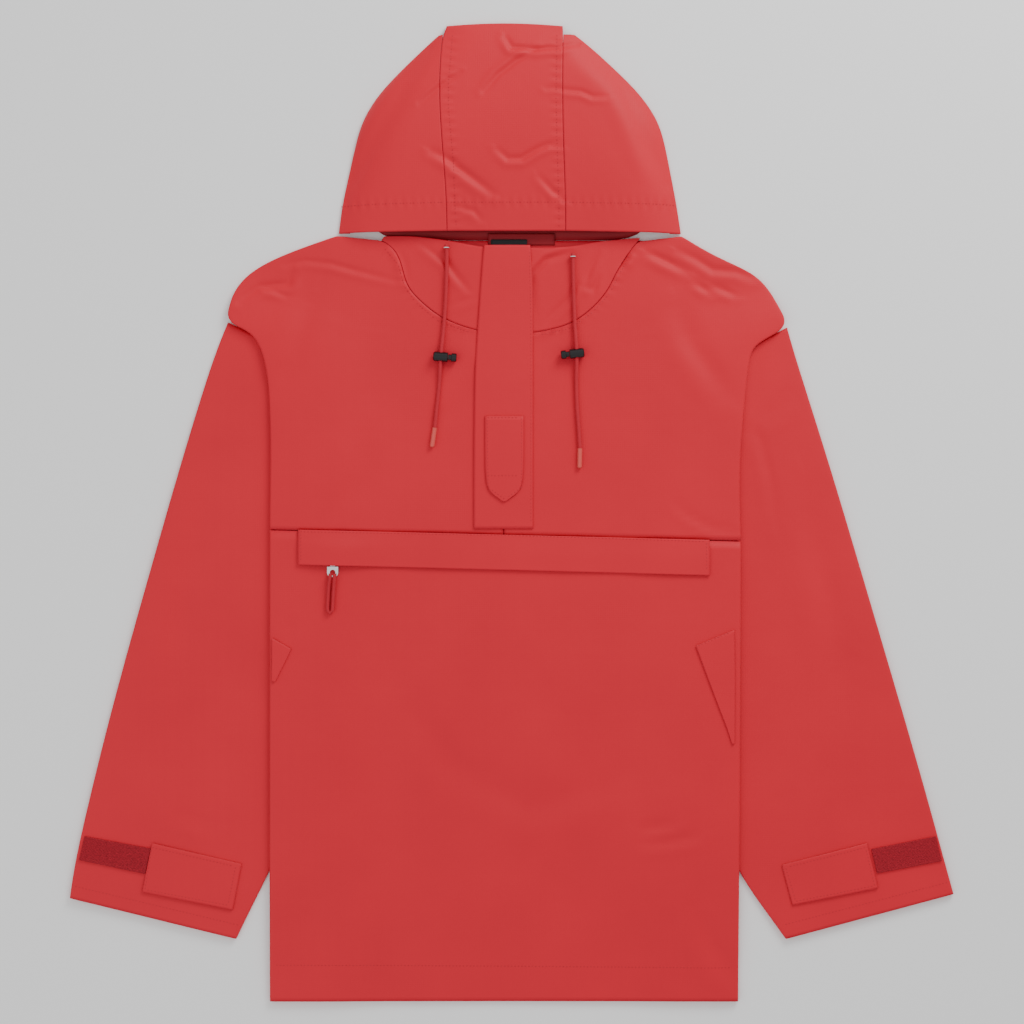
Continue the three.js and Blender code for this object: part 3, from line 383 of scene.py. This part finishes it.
class PARKA_OT_stage(ParkaOperator):
    """Makes the floor, the light and the camera"""
    bl_idname = "parka.stage"
    bl_label = "Stage"

    def make(self, look):
        bpy.ops.object.select_all(action="DESELECT")
        bpy.ops.mesh.primitive_plane_add(size=14, location=(0, 0, -0.0004))
        floor = bpy.context.object
        floor.name = "floor"
        paper, tree, shader = new_material("White_Board_Matt")
        place = add_node(tree, "ShaderNodeTexCoord")
        grain = add_node(tree, "ShaderNodeTexNoise", {"Scale": 300.0}, {"Vector": (place, "Object")})
        bump = add_node(tree, "ShaderNodeBump", {"Strength": 0.1, "Distance": 0.0002}, {"Height": (grain, "Fac")})
        tree.links.new(bump.outputs["Normal"], shader.inputs["Normal"])
        shader.inputs["Base Color"].default_value = linear("#F6F6F6")
        shader.inputs["Roughness"].default_value = 0.9
        floor.data.materials.append(paper)
        world = bpy.data.worlds.new("studio")
        world.use_nodes = True
        world.node_tree.nodes["Background"].inputs["Color"].default_value = (1, 1, 1, 1)
        world.node_tree.nodes["Background"].inputs["Strength"].default_value = 0.75
        bpy.context.scene.world = world
        for name, spot, size, power in (("key", (0.9, 1.5, 1.1), 0.9, 26), ("fill", (-1.3, -0.6, 1.8), 2.0, 9)):
            light = bpy.data.lights.new(name, "AREA")
            light.energy = power
            light.size = size
            lamp = bpy.data.objects.new(name, light)
            lamp.location = spot
            lamp.rotation_euler = (-Vector(spot)).to_track_quat("-Z", "Y").to_euler()
            bpy.context.scene.collection.objects.link(lamp)
        camera = bpy.data.cameras.new("camera")
        camera.lens = 85
        camera.sensor_width = 36
        eye = bpy.data.objects.new("camera", camera)
        eye.location = (0.0003, 0.0, 1.0445 * 85 / 36)
        bpy.context.scene.collection.objects.link(eye)
        bpy.context.scene.camera = eye


class PARKA_OT_cords(ParkaOperator):
    """Makes the two drawcords"""
    bl_idname = "parka.cords"
    bl_label = "Drawcords"

    def make(self, look):
        for side, route in CORD_ROUTE.items():
            curve = bpy.data.curves.new(f"drawcord_{side}_braid", "CURVE")
            curve.dimensions = "3D"
            curve.bevel_depth = look.cord / 2
            curve.bevel_resolution = 4
            curve.use_fill_caps = True
            curve.resolution_u = 10
            spline = curve.splines.new("NURBS")
            spline.points.add(len(route) - 1)
            for point, (x, y, z) in zip(spline.points, route):
                point.co = (x * MM, y * MM, z * MM, 1)
            spline.use_endpoint_u = True
            spline.order_u = 3
            cord = bpy.data.objects.new(curve.name, curve)
            bpy.context.scene.collection.objects.link(cord)
            curve.materials.append(material_for("cord"))
            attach(cord, BODY)
            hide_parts(f"drawcord_{side}")


class PARKA_OT_body(ParkaOperator):
    """Makes the back, the fronts and the collar parts of the hood"""
    bl_idname = "parka.body"
    bl_label = "Body"

    def make(self, look):
        sheet_like("back", 2, None)
        sheet_like("front_lower", 3, "front")
        seam = [STITCHES[19], STITCHES[20]]
        for side in ("left", "right"):
            sheet_like(f"front_upper_{side}", 3, "front", pucker_lines=seam)
            sheet_like(f"hood_neck_{side}", 3, "front", pucker_lines=seam)


class PARKA_OT_sleeves(ParkaOperator):
    """Makes the sleeves with their cuff tapes and tabs"""
    bl_idname = "parka.sleeves"
    bl_label = "Sleeves"

    def make(self, look):
        for side in ("left", "right"):
            sheet_like(f"sleeve_{side}", 3, "sleeve")
            sheet_like(f"cuff_tab_{side}", 3, None)
            tape = sheet_like(f"cuff_tape_{side}", 5, None, kind="pile")
            rough_pile(tape)


def rough_pile(piece):
    """Raises uneven loops on the tape's upper side."""
    mesh = piece.data
    for vertex in mesh.vertices:
        if vertex.normal.z > 0.5:
            x, y = vertex.co.x / MM, vertex.co.y / MM
            knot = math.sin(x * 2.9 + 3 * math.sin(y * 0.7)) * math.sin(y * 3.1 + 2 * math.sin(x * 0.9))
            vertex.co.z += 0.45 * MM * knot
    mesh.update()


class PARKA_OT_hood(ParkaOperator):
    """Makes the hood's three panels, its under layer and the neck tape"""
    bl_idname = "parka.hood"
    bl_label = "Hood"

    def make(self, look):
        seams = [STITCHES[1], STITCHES[2], STITCHES[0]]
        sheet_like("hood_centre", 4, "hood", pucker_lines=seams)
        sheet_like("hood_side_left", 4, "hood", pucker_lines=seams)
        sheet_like("hood_side_right", 4, "hood", pucker_lines=seams)
        # The under layer and neck tape take the darker inside red, which is painted shade for the neck slit.
        sheet_like("hood_back", 2, None, kind="inside")
        sheet_like("neck_tape", 3, None, kind="inside")
        sheet_like("neck_label", 3, None, kind="label")


class PARKA_OT_trim(ParkaOperator):
    """Makes the placket, its tab, the chest flap and the pocket welts"""
    bl_idname = "parka.trim"
    bl_label = "Placket, flap and welts"

    def make(self, look):
        for node in ("placket", "placket_tab", "chest_flap", "pocket_welt_left", "pocket_welt_right"):
            sheet_like(node, 3, None)


class PARKA_OT_stitches(ParkaOperator):
    """Sews the stitch lines onto the cloth"""
    bl_idname = "parka.stitches"
    bl_label = "Stitches"

    def make(self, look):
        step = look.stitch_length
        half = look.thread / 2
        trees = [BVHTree.FromObject(piece, bpy.context.evaluated_depsgraph_get()) for piece in SHEETS.values()]

        def top(x, y):
            hits = [tree.ray_cast(Vector((x, y, 0.2)), Vector((0, 0, -1)))[0] for tree in trees]
            return max([hit.z for hit in hits if hit] or [0])

        vertices, faces = [], []
        for points in STITCHES:
            for (ax, ay), (bx, by) in zip(points, points[1:]):
                start, end = Vector((ax, ay)) * MM, Vector((bx, by)) * MM
                length = (end - start).length
                way = (end - start) / length
                across = Vector((-way.y, way.x)) * half
                for i in range(int(length / (step * 1.35))):
                    first = start + way * (i * step * 1.35)
                    last = first + way * step
                    z = (top(*first) + top(*last)) / 2
                    base = len(vertices)
                    for end_point, lift in ((first, -0.0002), (last, -0.0002)):
                        for sign in (-1, 1):
                            vertices.append((*(end_point + across * sign), z + lift))
                    middle = (first + last) / 2
                    for sign in (-1, 1):
                        vertices.append((*(middle + across * sign * 0.6), z + 0.00035))
                    faces += [tuple(base + k for k in face) for face in
                              ((0, 2, 3, 1), (0, 1, 5, 4), (4, 5, 3, 2), (0, 4, 2), (1, 3, 5))]
        mesh = bpy.data.meshes.new("stitching")
        mesh.from_pydata(vertices, [], faces)
        mesh.update()
        piece = bpy.data.objects.new("stitching", mesh)
        bpy.context.scene.collection.objects.link(piece)
        finish_piece(piece, "thread")


class PARKA_OT_hardware(ParkaOperator):
    """Gives the cord locks, tips, eyelets, slider and pull tab their finishes"""
    bl_idname = "parka.hardware"
    bl_label = "Hardware"

    def make(self, look):
        kinds = {"cord_lock": "black", "cord_plunger": "black", "cord_tip": "tip", "eyelet": "metal"}
        for name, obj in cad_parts.items():
            kind = next((k for part, k in kinds.items() if name.startswith(part)), None)
            if name in ("zip_slider", "pull_tab"):
                kind = "metal"
            if name == "pull_loop":
                kind = "cord"
            if kind:
                obj.data.materials.clear()
                obj.data.materials.append(material_for(kind))


OPERATORS = (PARKA_OT_stage, PARKA_OT_cords, PARKA_OT_body, PARKA_OT_sleeves, PARKA_OT_hood, PARKA_OT_trim,
             PARKA_OT_stitches, PARKA_OT_hardware)


class PARKA_PT_panel(bpy.types.Panel):
    """Lists the parka's pieces"""
    bl_idname = "PARKA_PT_panel"
    bl_label = "Parka"
    bl_space_type = "VIEW_3D"
    bl_region_type = "UI"
    bl_category = "Parka"

    def draw(self, context):
        for operator in OPERATORS:
            self.layout.operator(operator.bl_idname)


CLASSES = (ParkaLook, *OPERATORS, PARKA_PT_panel)


def register():
    for cls in CLASSES:
        bpy.utils.register_class(cls)
    bpy.types.Scene.parka_look = bpy.props.PointerProperty(type=ParkaLook)


def unregister():
    del bpy.types.Scene.parka_look
    for cls in reversed(CLASSES):
        bpy.utils.unregister_class(cls)


def main():
    register()
    for operator in OPERATORS:
        group, name = operator.bl_idname.split(".")
        getattr(getattr(bpy.ops, group), name)()


if __name__ == "__main__":
    main()
